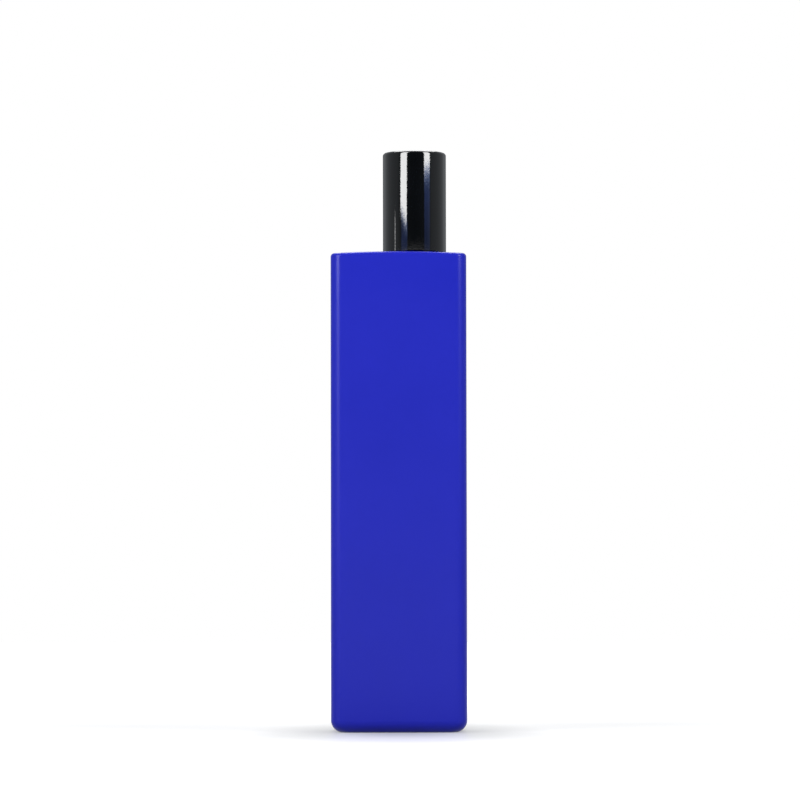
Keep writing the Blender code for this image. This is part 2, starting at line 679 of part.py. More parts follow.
def make_nozzle_insert(material, axis):
    """The small cup that shapes the spray. It is turned round z, then laid along -y."""
    front = BUTTON_RADIUS - NOZZLE_INSET
    back = front - NOZZLE_LENGTH
    ease = 0.2 * MM
    outline = [
        (ORIFICE_RADIUS, front - ORIFICE_DEPTH),
        (ORIFICE_MOUTH, front),
        (NOZZLE_RADIUS - ease, front),
        (NOZZLE_RADIUS, front - ease),
        (NOZZLE_RADIUS, back),
        (NOZZLE_HOLLOW, back),
        (NOZZLE_HOLLOW, front - NOZZLE_FACE),
        (ORIFICE_RADIUS, front - NOZZLE_FACE + ease),
    ]
    nozzle = add_object("nozzle_insert", turned(outline, FINE), material, axis)
    nozzle.location = (0.0, 0.0, NOZZLE_Z)
    nozzle.rotation_euler = (math.radians(90), 0.0, 0.0)
    return nozzle


def make_cap_liner(material, axis):
    """The inner cup of the cap. Ribs grip the ferrule, and a ledge above them rests on it."""
    low = CAP_RIM + SKIN_GAP
    ledge_z = FERRULE_TOP + SEAT_GAP
    ledge = FERRULE_RADIUS - LINER_STEP
    rib_low = BEAD_BOTTOM - BEAD_STEP - SEAT_GAP
    every = RING // RIB_COUNT
    top = LINER_CEILING + LINER_TOP

    def ring(radius, level, rib=0.0):
        points = []
        for i in range(RING):
            angle = 2 * math.pi * i / RING
            reach = radius - (rib if i % every == 0 else 0.0)
            points.append((reach * math.cos(angle), reach * math.sin(angle), level))
        return points

    rings = [[(0.0, 0.0, LINER_CEILING)], ring(ledge - LINER_EDGE, LINER_CEILING)]
    rings += [ring(ledge, LINER_CEILING - LINER_EDGE), ring(ledge, ledge_z)]
    rings += [ring(LINER_BORE, ledge_z, RIB_DEPTH), ring(LINER_BORE, rib_low, RIB_DEPTH)]
    rings += [ring(LINER_BORE, rib_low - RIB_DEPTH), ring(LINER_BORE, low)]
    rings += [ring(LINER_RADIUS, low), ring(LINER_RADIUS, top - LINER_EDGE)]
    rings += [ring(LINER_RADIUS - LINER_EDGE, top)]
    rings += [[(0.0, 0.0, top)]]
    return add_object("cap_liner", skin(rings), material, axis, (0, 0, low))


def make_cap_shell(material, axis):
    """The cap's glossy outer cup."""
    inner_edge = SHELL_EDGE / 2
    outline = [(0.0, SHELL_CEILING), (SHELL_BORE - inner_edge, SHELL_CEILING)]
    outline += [(SHELL_BORE, SHELL_CEILING - inner_edge), (SHELL_BORE, CAP_RIM + SHELL_RIM)]
    outline += [(SHELL_BORE + SHELL_RIM, CAP_RIM), (SHELL_RADIUS - SHELL_RIM, CAP_RIM)]
    outline += [(SHELL_RADIUS, CAP_RIM + SHELL_RIM)]
    outline += arc(SHELL_RADIUS - SHELL_EDGE, CAP_TOP - SHELL_EDGE, SHELL_EDGE, 0, 90)
    outline += [(0.0, CAP_TOP)]
    bm = turned(outline, RING, closed=False)
    return add_object("cap_shell", bm, material, axis, (0, 0, CAP_RIM))


def build():
    clear_scene()
    lacquer = finish_material("blue_lacquered_glass", (0.021, 0.021, 0.47), 0.45)
    cap_black = finish_material("black_cap_lacquer", (0.004, 0.0045, 0.006), 0.12)
    liner_black = finish_material("black_liner_plastic", (0.012, 0.012, 0.013), 0.5)
    button_black = finish_material("black_button_plastic", (0.008, 0.008, 0.009), 0.25)
    natural = finish_material("natural_pump_plastic", (0.75, 0.75, 0.72), 0.45)
    clear_tube = finish_material("dip_tube_plastic", (0.8, 0.82, 0.82), 0.3)
    aluminium = finish_material("ferrule_aluminium", (0.78, 0.78, 0.79), 0.25, 1.0)
    steel = finish_material("spring_steel", (0.6, 0.6, 0.6), 0.25, 1.0)
    rubber = finish_material("gasket_rubber", (0.05, 0.05, 0.05), 0.8)

    axis = pump_axis()
    make_glass_bottle(lacquer)
    make_neck_gasket(rubber, axis)
    make_crimp_ferrule(aluminium, axis)
    make_pump_housing(natural, axis)
    make_stem_retainer(natural, axis)
    make_stem(natural, axis)
    make_valve_rod(natural, axis)
    make_piston(natural, axis)
    make_return_spring(steel, axis)
    make_outlet_spring(steel, axis)
    make_inlet_ball(steel, axis)
    make_dip_tube(clear_tube, axis)
    make_spray_button(button_black, axis)
    make_nozzle_insert(button_black, axis)
    make_cap_liner(liner_black, axis)
    make_cap_shell(cap_black, axis)


build()
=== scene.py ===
"""The looks of a square lacquered spray bottle with an off-centre pump and a glossy black cap.

Every length is in metres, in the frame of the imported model. The front face looks towards -Y.
"""

import math

import bmesh
import bpy
from mathutils import Matrix, Vector


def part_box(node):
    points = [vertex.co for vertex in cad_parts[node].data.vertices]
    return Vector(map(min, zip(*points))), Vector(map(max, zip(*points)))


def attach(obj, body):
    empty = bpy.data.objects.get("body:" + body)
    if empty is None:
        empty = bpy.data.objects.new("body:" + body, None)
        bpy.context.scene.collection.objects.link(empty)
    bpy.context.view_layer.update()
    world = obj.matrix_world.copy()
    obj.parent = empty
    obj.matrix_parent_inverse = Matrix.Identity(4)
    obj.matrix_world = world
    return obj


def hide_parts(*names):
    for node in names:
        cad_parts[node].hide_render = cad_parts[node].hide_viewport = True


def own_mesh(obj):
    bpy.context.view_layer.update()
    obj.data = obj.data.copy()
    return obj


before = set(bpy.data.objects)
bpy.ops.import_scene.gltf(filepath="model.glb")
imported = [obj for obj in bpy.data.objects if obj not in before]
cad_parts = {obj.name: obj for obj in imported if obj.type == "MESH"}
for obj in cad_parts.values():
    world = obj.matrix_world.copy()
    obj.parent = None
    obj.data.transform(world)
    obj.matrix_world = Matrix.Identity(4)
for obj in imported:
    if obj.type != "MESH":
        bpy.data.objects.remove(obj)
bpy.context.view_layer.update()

MM = 0.001
UP = Vector((0.0, 0.0, 1.0))

# ---- Sizes read from the frame ----
GLASS_LOW, GLASS_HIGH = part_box("glass_bottle")
SHELL_LOW, SHELL_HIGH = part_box("cap_shell")
LINER_LOW, LINER_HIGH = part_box("cap_liner")
FERRULE_LOW, FERRULE_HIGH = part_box("crimp_ferrule")
BUTTON_LOW, BUTTON_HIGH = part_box("spray_button")
NOZZLE_LOW, NOZZLE_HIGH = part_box("nozzle_insert")
TUBE_LOW, TUBE_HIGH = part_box("dip_tube")

AXIS = Vector(((SHELL_LOW.x + SHELL_HIGH.x) / 2, (SHELL_LOW.y + SHELL_HIGH.y) / 2, 0.0))
HALF_X = (GLASS_HIGH.x - GLASS_LOW.x) / 2
HALF_Y = (GLASS_HIGH.y - GLASS_LOW.y) / 2

# ---- Glass ----
CROWN_GAP = 0.45 * MM  # from the shoulder up to the cap's rim
CROWN_DROP = 0.5 * MM
SHOULDER = SHELL_LOW.z - CROWN_GAP
EDGE_RADIUS = 2.8 * MM
HEEL_RADIUS = 3.2 * MM
SHOULDER_RADIUS = 0.9 * MM
GLASS_WALL = 4.8 * MM
GLASS_FLOOR = 14.0 * MM
GLASS_ROOF = 5.0 * MM
CAVITY_EDGE = 3.0 * MM
CAVITY_FILLET = 2.5 * MM
PUSH_UP = 0.6 * MM
REST_RIM = 4.5 * MM
NECK_BORE = 4.5 * MM
NECK_BEAD = 6.4 * MM
NECK_WAIST = 5.65 * MM
NECK_EASE = 0.5 * MM
BEAD_HEIGHT = 3.6 * MM
CORNER_STEPS = 12
SIDE_POINTS = 11
RING = 4 * (CORNER_STEPS + 1 + SIDE_POINTS)
FILLET_STEPS = 8
PUSH_UP_STEPS = 6
WALL_STEPS = 10
SHOULDER_STEPS = 8
LEAST_CORNER = 0.25 * MM

# ---- Cap, button and ferrule ----
SHELL_WALL = 0.4 * MM
SHELL_TOP = 0.5 * MM
SHELL_EDGE = 0.8 * MM
LINER_WALL = 0.45 * MM
LINER_TOP = 0.6 * MM
LEDGE_RADIUS = 6.5 * MM
LEDGE_GAP = 0.3 * MM
RIB_DEPTH = 0.25 * MM
RIB_COUNT = 8
FERRULE_SHEET = 0.3 * MM
FERRULE_HOLE = 3.6 * MM
PLEATS = 18
PLEAT_DEPTH = 0.07 * MM
PLEAT_REACH = 1.6 * MM
BUTTON_SKIRT = 1.0 * MM
SOCKET_RADIUS = 1.85 * MM
SOCKET_DEPTH = 3.2 * MM
SKIRT_DEPTH = 1.9 * MM
DUCT_RADIUS = 0.6 * MM
DISH_RADIUS = 4.7 * MM
DISH_DEPTH = 0.8 * MM
DISH_STEPS = 14
POCKET_GAP = 0.15 * MM
SEAT_GAP = 0.3 * MM
ORIFICE = 0.25 * MM

# ---- Springs and dip tube ----
RETURN_WIRE = 0.45 * MM
RETURN_TURNS = 9
OUTLET_WIRE = 0.35 * MM
OUTLET_TURNS = 4
COIL_FACETS = 32  # along one turn of a spring
WIRE_SIDES = 10
END_CLOSING = 0.35  # how far the end turns close up, from 0 to 1
TUBE_RADIUS = 1.15 * MM
TUBE_BORE = 0.7 * MM
TUBE_STRAIGHT = 5.2 * MM
TUBE_BEND = 1.4
TUBE_STOPS = 40
TUBE_SIDES = 32

FINE_TURN = 128  # facets round a visible turned piece
INNER_TURN = 72  # facets round a piece inside the pump


# ======================================================================
# Shared shader groups
# ======================================================================
def new_group(name, inputs, outputs):
    """An empty node group with float inputs (name, default) and named outputs."""
    group = bpy.data.node_groups.new(name, "ShaderNodeTree")
    for label, default in inputs:
        socket = group.interface.new_socket(label, in_out="INPUT", socket_type="NodeSocketFloat")
        socket.default_value = default
    for label in outputs:
        group.interface.new_socket(label, in_out="OUTPUT", socket_type="NodeSocketFloat")
    entry = group.nodes.new("NodeGroupInput")
    leave = group.nodes.new("NodeGroupOutput")
    return group, entry, leave


def math_node(tree, operation, first, second=None, clamp=False):
    """A Math node fed by sockets or plain numbers."""
    node = tree.nodes.new("ShaderNodeMath")
    node.operation = operation
    node.use_clamp = clamp
    for index, value in enumerate((first, second)):
        if value is None:
            continue
        if isinstance(value, (int, float)):
            node.inputs[index].default_value = value
        else:
            tree.links.new(value, node.inputs[index])
    return node.outputs[0]


def object_point(tree):
    """The point being shaded, in the piece's own coordinates."""
    return tree.nodes.new("ShaderNodeTexCoord").outputs["Object"]


def make_lacquer_skin():
    """Orange peel, slow thickness clouds and fine pits of a sprayed coat."""
    group, entry, leave = new_group(
        "lacquer_skin",
        [("Peel Scale", 700.0), ("Cloud Scale", 40.0)],
        ["Clouds", "Height"],
    )
    point = object_point(group)
    peel = group.nodes.new("ShaderNodeTexNoise")
    peel.inputs["Detail"].default_value = 2.0
    group.links.new(point, peel.inputs["Vector"])
    group.links.new(entry.outputs["Peel Scale"], peel.inputs["Scale"])
    clouds = group.nodes.new("ShaderNodeTexNoise")
    clouds.inputs["Detail"].default_value = 3.0
    clouds.inputs["Roughness"].default_value = 0.55
    group.links.new(point, clouds.inputs["Vector"])
    group.links.new(entry.outputs["Cloud Scale"], clouds.inputs["Scale"])
    group.links.new(clouds.outputs["Fac"], leave.inputs["Clouds"])
    group.links.new(peel.outputs["Fac"], leave.inputs["Height"])
    return group


def make_dust_specks():
    """Sparse round specks: 1 inside a speck, 0 elsewhere. Share is the part of the cells with one."""
    group, entry, leave = new_group(
        "dust_specks",
        [("Scale", 500.0), ("Size", 0.12), ("Share", 0.1)],
        ["Mask"],
    )
    cells = group.nodes.new("ShaderNodeTexVoronoi")
    cells.inputs["Randomness"].default_value = 1.0
    group.links.new(object_point(group), cells.inputs["Vector"])
    group.links.new(entry.outputs["Scale"], cells.inputs["Scale"])
    split = group.nodes.new("ShaderNodeSeparateColor")
    group.links.new(cells.outputs["Color"], split.inputs["Color"])
    chosen = math_node(group, "LESS_THAN", split.outputs["Red"], entry.outputs["Share"])
    width = math_node(group, "MULTIPLY", split.outputs["Green"], entry.outputs["Size"])
    inside = math_node(group, "SUBTRACT", width, cells.outputs["Distance"])
    soft = math_node(group, "DIVIDE", inside, entry.outputs["Size"])
    shown = math_node(group, "MULTIPLY", soft, 3.0, clamp=True)
    mask = math_node(group, "MULTIPLY", shown, chosen)
    group.links.new(mask, leave.inputs["Mask"])
    return group


def make_drawn_grain():
    """Fine lines that run round the z axis, as rolling, spinning or drawing leaves them."""
    group, entry, leave = new_group(
        "drawn_grain",
        [("Scale", 900.0), ("Stretch", 0.05)],
        ["Lines", "Height"],
    )
    spread = group.nodes.new("ShaderNodeCombineXYZ")
    group.links.new(entry.outputs["Stretch"], spread.inputs["X"])
    group.links.new(entry.outputs["Stretch"], spread.inputs["Y"])
    spread.inputs["Z"].default_value = 1.0
    scaled = group.nodes.new("ShaderNodeVectorMath")
    scaled.operation = "MULTIPLY"
    group.links.new(object_point(group), scaled.inputs[0])
    group.links.new(spread.outputs["Vector"], scaled.inputs[1])
    noise = group.nodes.new("ShaderNodeTexNoise")
    noise.inputs["Detail"].default_value = 4.0
    group.links.new(scaled.outputs["Vector"], noise.inputs["Vector"])
    group.links.new(entry.outputs["Scale"], noise.inputs["Scale"])
    group.links.new(noise.outputs["Fac"], leave.inputs["Lines"])
    group.links.new(noise.outputs["Fac"], leave.inputs["Height"])
    return group


def make_moulded_skin():
    """The fine spark-eroded texture and slow sink of moulded plastic."""
    group, entry, leave = new_group(
        "moulded_skin",
        [("Texture Scale", 2500.0), ("Sink Scale", 120.0)],
        ["Tone", "Height"],
    )
    point = object_point(group)
    texture = group.nodes.new("ShaderNodeTexNoise")
    texture.inputs["Detail"].default_value = 2.0
    group.links.new(point, texture.inputs["Vector"])
    group.links.new(entry.outputs["Texture Scale"], texture.inputs["Scale"])
    sink = group.nodes.new("ShaderNodeTexNoise")
    sink.inputs["Detail"].default_value = 1.0
    group.links.new(point, sink.inputs["Vector"])
    group.links.new(entry.outputs["Sink Scale"], sink.inputs["Scale"])
    quiet = math_node(group, "MULTIPLY", texture.outputs["Fac"], 0.5)
    height = math_node(group, "ADD", quiet, sink.outputs["Fac"])
    group.links.new(sink.outputs["Fac"], leave.inputs["Tone"])
    group.links.new(height, leave.inputs["Height"])
    return group


# ======================================================================
# Materials
# ======================================================================
class Finish:
    """A material being made: its tree, its shader, and short ways to wire them."""

    def __init__(self, name, colour, roughness, metallic=0.0):
        self.material = bpy.data.materials.new(name)
        self.material.use_nodes = True
        self.tree = self.material.node_tree
        self.shader = self.tree.nodes["Principled BSDF"]
        self.shader.inputs["Base Color"].default_value = (*colour, 1.0)
        self.shader.inputs["Roughness"].default_value = roughness
        self.shader.inputs["Metallic"].default_value = metallic

    def set(self, **values):
        """Sets plain values on the shader; Coat_Weight=1 sets the socket Coat Weight."""
        for label, value in values.items():
            self.shader.inputs[label.replace("_", " ")].default_value = value
        return self

    def place(self, group, **values):
        """Puts a shared group in the tree with this material's own values."""
        node = self.tree.nodes.new("ShaderNodeGroup")
        node.node_tree = group
        for label, value in values.items():
            node.inputs[label.replace("_", " ")].default_value = value
        return node

    def mix_colour(self, mask, low, high):
        """A colour between low and high, by a mask."""
        node = self.tree.nodes.new("ShaderNodeMix")
        node.data_type = "RGBA"
        self.tree.links.new(mask, node.inputs["Factor"])
        for index, value in ((6, low), (7, high)):
            if isinstance(value, tuple):
                node.inputs[index].default_value = (*value, 1.0)
            else:
                self.tree.links.new(value, node.inputs[index])
        return node.outputs[2]

    def spread(self, value, low, high, start=0.3, end=0.7):
        """Maps a mask's range start..end onto low..high."""
        node = self.tree.nodes.new("ShaderNodeMapRange")
        self.tree.links.new(value, node.inputs["Value"])
        node.inputs["From Min"].default_value = start
        node.inputs["From Max"].default_value = end
        node.inputs["To Min"].default_value = low
        node.inputs["To Max"].default_value = high
        return node.outputs["Result"]

    def wire(self, output, socket):
        """Links an output to one of the shader's sockets."""
        self.tree.links.new(output, self.shader.inputs[socket])

    def bump(self, height, strength, distance):
        """Adds a Bump of a real depth, on top of any bump wired before."""
        node = self.tree.nodes.new("ShaderNodeBump")
        node.inputs["Strength"].default_value = strength
        node.inputs["Distance"].default_value = distance
        self.tree.links.new(height, node.inputs["Height"])
        earlier = self.shader.inputs["Normal"].links
        if earlier:
            self.tree.links.new(earlier[0].from_socket, node.inputs["Normal"])
        self.tree.links.new(node.outputs["Normal"], self.shader.inputs["Normal"])


LACQUER_SKIN = make_lacquer_skin()
DUST_SPECKS = make_dust_specks()
DRAWN_GRAIN = make_drawn_grain()
MOULDED_SKIN = make_moulded_skin()


def blue_lacquer():
    """Opaque satin lacquer on glass: slow clouds, orange peel and a few specks of dust."""
    finish = Finish("blue_satin_lacquer", (0.006, 0.008, 0.2), 0.3)
    finish.set(Specular_IOR_Level=0.12)
    skin = finish.place(LACQUER_SKIN, Peel_Scale=900.0, Cloud_Scale=35.0)
    dust = finish.place(DUST_SPECKS, Scale=330.0, Size=0.10, Share=0.035)
    thin_coat = (0.0042, 0.0070, 0.178)
    thick_coat = (0.0060, 0.0086, 0.208)
    caught_dust = (0.05, 0.06, 0.30)
    coat = finish.mix_colour(skin.outputs["Clouds"], thin_coat, thick_coat)
    finish.wire(finish.mix_colour(dust.outputs["Mask"], coat, caught_dust), "Base Color")
    finish.wire(finish.spread(skin.outputs["Clouds"], 0.285, 0.335, 0.0, 1.0), "Roughness")
    finish.bump(skin.outputs["Height"], 0.25, 0.012 * MM)
    finish.bump(dust.outputs["Mask"], 0.5, 0.02 * MM)
    return finish.material


def black_cap_coat():
    """Hard black gloss. A fine grain and small satin specks break up what it mirrors."""
    finish = Finish("black_cap_gloss", (0.0003, 0.0005, 0.0008), 0.03)
    finish.set(IOR=1.5)
    skin = finish.place(LACQUER_SKIN, Peel_Scale=3600.0, Cloud_Scale=120.0)
    specks = finish.place(DUST_SPECKS, Scale=3000.0, Size=0.5, Share=0.5)
    clouds = finish.spread(skin.outputs["Clouds"], 0.0, 1.0)
    black = finish.mix_colour(clouds, (0.0002, 0.0004, 0.0006), (0.0005, 0.0007, 0.0011))
    finish.wire(black, "Base Color")
    finish.wire(finish.spread(specks.outputs["Mask"], 0.035, 0.08, 0.0, 1.0), "Roughness")
    finish.bump(skin.outputs["Height"], 0.7, 0.0085 * MM)
    return finish.material


def black_plastic(name, gloss, texture):
    """Moulded black plastic: gloss sets its roughness, texture its grain."""
    finish = Finish(name, (0.005, 0.005, 0.006), gloss)
    finish.set(Specular_IOR_Level=0.38)
    skin = finish.place(MOULDED_SKIN, Texture_Scale=texture, Sink_Scale=150.0)
    tone = finish.spread(skin.outputs["Tone"], 0.0, 1.0)
    finish.wire(finish.mix_colour(tone, (0.0035, 0.0035, 0.004), (0.007, 0.007, 0.008)), "Base Color")
    finish.wire(finish.spread(skin.outputs["Tone"], gloss * 0.85, gloss * 1.15), "Roughness")
    finish.bump(skin.outputs["Height"], 0.35, 0.012 * MM)
    return finish.material


def natural_plastic():
    """Uncoloured pump plastic, slightly waxy and translucent."""
    finish = Finish("natural_pump_plastic", (0.48, 0.48, 0.455), 0.42)
    finish.set(Subsurface_Weight=0.15, Subsurface_Scale=0.6 * MM)
    skin = finish.place(MOULDED_SKIN, Texture_Scale=1800.0, Sink_Scale=220.0)
    tone = finish.spread(skin.outputs["Tone"], 0.0, 1.0)
    finish.wire(finish.mix_colour(tone, (0.44, 0.44, 0.41), (0.52, 0.52, 0.50)), "Base Color")
    finish.wire(finish.spread(skin.outputs["Tone"], 0.36, 0.48), "Roughness")
    finish.bump(skin.outputs["Height"], 0.3, 0.01 * MM)
    return finish.material


def tube_plastic():
    """Extruded dip tube: cloudy, with faint lines along it."""
    finish = Finish("dip_tube_plastic", (0.80, 0.82, 0.82), 0.33)
    finish.set(Transmission_Weight=0.5, IOR=1.5)
    skin = finish.place(MOULDED_SKIN, Texture_Scale=900.0, Sink_Scale=90.0)
    tone = finish.spread(skin.outputs["Tone"], 0.0, 1.0)
    finish.wire(finish.mix_colour(tone, (0.76, 0.78, 0.78), (0.86, 0.88, 0.88)), "Base Color")
    finish.wire(finish.spread(skin.outputs["Tone"], 0.29, 0.38), "Roughness")
    finish.bump(skin.outputs["Height"], 0.2, 0.008 * MM)
    return finish.material


def turned_metal(name, low, high, rough, scale, depth):
    """Metal with fine lines round its axis, between two tones."""
    finish = Finish(name, high, rough, 1.0)
    grain = finish.place(DRAWN_GRAIN, Scale=scale, Stretch=0.06)
    lines = finish.spread(grain.outputs["Lines"], 0.0, 1.0)
    finish.wire(finish.mix_colour(lines, low, high), "Base Color")
    finish.wire(finish.spread(grain.outputs["Lines"], rough * 1.2, rough * 0.8), "Roughness")
    finish.bump(grain.outputs["Height"], 0.3, depth)
    return finish.material


def gasket_rubber():
    """Matt black rubber with a dusty bloom."""
    finish = Finish("gasket_rubber", (0.03, 0.03, 0.031), 0.8)
    skin = finish.place(MOULDED_SKIN, Texture_Scale=1400.0, Sink_Scale=400.0)
    tone = finish.spread(skin.outputs["Tone"], 0.0, 1.0)
    finish.wire(finish.mix_colour(tone, (0.022, 0.022, 0.023), (0.05, 0.05, 0.052)), "Base Color")
    finish.wire(finish.spread(skin.outputs["Tone"], 0.7, 0.9), "Roughness")
    finish.bump(skin.outputs["Height"], 0.5, 0.03 * MM)
    return finish.material


# ======================================================================
# Mesh tools
# ======================================================================
def make_object(name, bm, material, body, replaced, smooth_angle=30):
    """Finishes a bmesh as a visible piece that stands for a CAD node and rides on its body."""
    bmesh.ops.recalc_face_normals(bm, faces=bm.faces)
    mesh = bpy.data.meshes.new(name)
    bm.to_mesh(mesh)
    bm.free()
    mesh.materials.append(material)
    mesh.shade_smooth()
    mesh.set_sharp_from_angle(angle=math.radians(smooth_angle))
    piece = bpy.data.objects.new(name, mesh)
    bpy.context.scene.collection.objects.link(piece)
    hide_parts(replaced)
    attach(piece, body)
    return piece


def skin_rings(rings, closed=False):
    """Joins rings of points into one surface. A ring of one point is a tip; a long end is capped."""
    bm = bmesh.new()
    loops = [[bm.verts.new(point) for point in ring] for ring in rings]
    following = loops[1:] + loops[:1] if closed else loops[1:]
    for lower, upper in zip(loops, following):
        count = max(len(lower), len(upper))
        for i in range(count):
            j = (i + 1) % count
            corners = [lower[i % len(lower)], lower[j % len(lower)]]
            corners += [upper[j % len(upper)], upper[i % len(upper)]]
            bm.faces.new(list(dict.fromkeys(corners)))
    if not closed:
        for end in (loops[0], loops[-1]):
            if len(end) > 1:
                bm.faces.new(end)
    return bm


def eased(corners, closed=True, steps=6):
    """An outline of (r, z) points from corners (r, z, radius), each corner rounded by its radius."""
    points = []
    count = len(corners)
    for i, (r, z, radius) in enumerate(corners):
        corner = Vector((r, z))
        at_end = not closed and i in (0, count - 1)
        if radius <= 0 or at_end:
            points.append((r, z))
            continue
        before = Vector(corners[i - 1][:2]) - corner
        after = Vector(corners[(i + 1) % count][:2]) - corner
        half = before.angle(after) / 2
        reach = min(radius / math.tan(half), before.length * 0.49, after.length * 0.49)
        radius = reach * math.tan(half)
        inward = (before.normalized() + after.normalized()).normalized()
        centre = corner + inward * (radius / math.sin(half))
        start = corner + before.normalized() * reach - centre
        end = corner + after.normalized() * reach - centre
        sweep = start.angle_signed(end)
        for step in range(steps + 1):
            turned = start.copy()
            turned.rotate(Matrix.Rotation(-sweep * step / steps, 2))
            points.append(tuple(centre + turned))
    return points


def turn(outline, steps, closed=True):
    """Spins an outline of (r, z) points round the pump's axis."""
    bm = bmesh.new()
    verts = [bm.verts.new((AXIS.x + r, AXIS.y, z)) for r, z in outline]
    ends = verts[1:] + verts[:1] if closed else verts[1:]
    for first, second in zip(verts, ends):
        bm.edges.new((first, second))
    geometry = bm.verts[:] + bm.edges[:]
    full = 2 * math.pi
    bmesh.ops.spin(bm, geom=geometry, cent=AXIS, axis=UP, angle=full, steps=steps, use_merge=True)
    bmesh.ops.remove_doubles(bm, verts=bm.verts, dist=0.0005 * MM)
    return bm


def cad_outline(node):
    """The (r, z) outline of a turned CAD node, read off its mesh on the +X side of the axis."""
    bm = bmesh.new()
    bm.from_mesh(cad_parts[node].data)
    tolerance = 0.002 * MM
    bmesh.ops.remove_doubles(bm, verts=bm.verts, dist=tolerance)
    off = [v for v in bm.verts if abs(v.co.y - AXIS.y) > tolerance or v.co.x < AXIS.x - tolerance]
    bmesh.ops.delete(bm, geom=off, context="VERTS")
    ends = [v for v in bm.verts if len(v.link_edges) == 1]
    start = ends[0] if ends else min(bm.verts, key=lambda v: (v.co.z, v.co.x))
    path = [start]
    while True:
        near = [e.other_vert(path[-1]) for e in path[-1].link_edges]
        ahead = [v for v in near if v not in path]
        if not ahead:
            break
        path.append(ahead[0])
    outline = [(max(v.co.x - AXIS.x, 0.0), v.co.z) for v in path]
    bm.free()
    return outline, not ends


def refine_turned(name, node, material, body, ease=0.06 * MM):
    """A CAD turning made again with many facets and every sharp corner eased."""
    outline, closed = cad_outline(node)
    corners = [(r, z, ease) for r, z in outline]
    bm = turn(eased(corners, closed, steps=3), INNER_TURN, closed)
    return make_object(name, bm, material, body, node)


def tube_along(centres, radius, sides, ends=None):
    """Rings of a round tube along a line of points. ends fixes the direction at both ends."""
    rings = []
    for index, centre in enumerate(centres):
        ahead = centres[min(index + 1, len(centres) - 1)]
        behind = centres[max(index - 1, 0)]
        along = (ahead - behind).normalized()
        if ends is not None and index in (0, len(centres) - 1):
            along = ends
        side = along.orthogonal() if abs(along.y) > 0.9 else Vector((0.0, 1.0, 0.0))
        side = (side - along * side.dot(along)).normalized()
        other = along.cross(side)
        angles = [2 * math.pi * k / sides for k in range(sides)]
        rings.append([centre + (side * math.cos(a) + other * math.sin(a)) * radius for a in angles])
    return rings


# ======================================================================
# The glass bottle
# ======================================================================
def square_ring(inset, radius, height):
    """A rounded square ring, inset from the glass's sides. height is a level or a function of x, y."""
    half_x, half_y = HALF_X - inset, HALF_Y - inset
    points = []
    for corner in range(4):
        sign_x, sign_y = (1, -1, -1, 1)[corner], (1, 1, -1, -1)[corner]
        centre = Vector((sign_x * (half_x - radius), sign_y * (half_y - radius)))
        for step in range(CORNER_STEPS + 1):
            angle = math.radians(90 * (corner + step / CORNER_STEPS))
            points.append(centre + radius * Vector((math.cos(angle), math.sin(angle))))
        last = points[-1]
        heading = math.radians(90 * (corner + 1))
        along = Vector((-math.sin(heading), math.cos(heading)))
        length = 2 * ((half_x if corner % 2 == 0 else half_y) - radius)
        for step in range(1, SIDE_POINTS + 1):
            points.append(last + along * (length * step / (SIDE_POINTS + 1)))
    if callable(height):
        return [(p.x, p.y, height(p.x, p.y)) for p in points]
    return [(p.x, p.y, height) for p in points]


def neck_ring(radius, height):
    """A round ring on the neck's axis, its points in step with those of square_ring."""
    pace = 2 * math.pi / RING
    first = math.pi / 4 - CORNER_STEPS / 2 * pace
    ring = []
    for i in range(RING):
        angle = first + i * pace
        x = AXIS.x + radius * math.cos(angle)
        y = AXIS.y + radius * math.sin(angle)
        ring.append((x, y, height(x, y) if callable(height) else height))
    return ring


def crown(x, y):
    """Height of the shoulder's shallow dome."""
    return SHOULDER - CROWN_DROP * ((x / HALF_X) ** 2 + (y / HALF_Y) ** 2)


def corner_radius(radius, inset):
    """A corner's radius on a ring that lies inset from the one it was given for."""
    return max(radius - inset, LEAST_CORNER)


def quarter(steps):
    """Angles from 0 to a right angle."""
    return [math.pi / 2 * step / steps for step in range(steps + 1)]


def base_rings():
    """From the middle of the push-up over the resting band and the heel to the walls."""
    hollow = HEEL_RADIUS + REST_RIM
    rings = [[(0.0, 0.0, PUSH_UP)]]
    corner = 2 * EDGE_RADIUS
    for share in (0.8, 0.6):
        rings.append(square_ring(HALF_X * share, corner * (1 - share), PUSH_UP))
    for step in range(PUSH_UP_STEPS + 1):
        angle = math.pi * step / PUSH_UP_STEPS
        inset = hollow + PUSH_UP * (1 + math.cos(angle)) / 2
        rings.append(square_ring(inset, corner, PUSH_UP * (1 + math.cos(angle)) / 2))
    for angle in quarter(FILLET_STEPS):
        inset = HEEL_RADIUS * (1 - math.sin(angle))
        rings.append(square_ring(inset, EDGE_RADIUS, HEEL_RADIUS * (1 - math.cos(angle))))
    return rings


def wall_rings():
    """Up the walls, between the heel and the shoulder."""
    low, high = HEEL_RADIUS, SHOULDER - 2 * CROWN_DROP - SHOULDER_RADIUS
    levels = [low + (high - low) * step / WALL_STEPS for step in range(1, WALL_STEPS)]
    return [square_ring(0.0, EDGE_RADIUS, level) for level in levels]


def shoulder_rings():
    """Over the shoulder's edge and across its dome to the foot of the neck."""
    rings = []
    for angle in quarter(FILLET_STEPS):
        inset = SHOULDER_RADIUS * (1 - math.cos(angle))
        drop = SHOULDER_RADIUS * (1 - math.sin(angle))
        corner = corner_radius(EDGE_RADIUS, inset)
        rings.append(square_ring(inset, corner, lambda x, y, d=drop: crown(x, y) - d))
    edge = rings[-1]
    foot = neck_ring(NECK_WAIST + NECK_EASE, crown)
    for step in range(1, SHOULDER_STEPS):
        share = step / SHOULDER_STEPS
        mixed = [Vector(a).lerp(Vector(b), share) for a, b in zip(edge, foot)]
        rings.append([(p.x, p.y, crown(p.x, p.y)) for p in mixed])
    return rings + [foot]


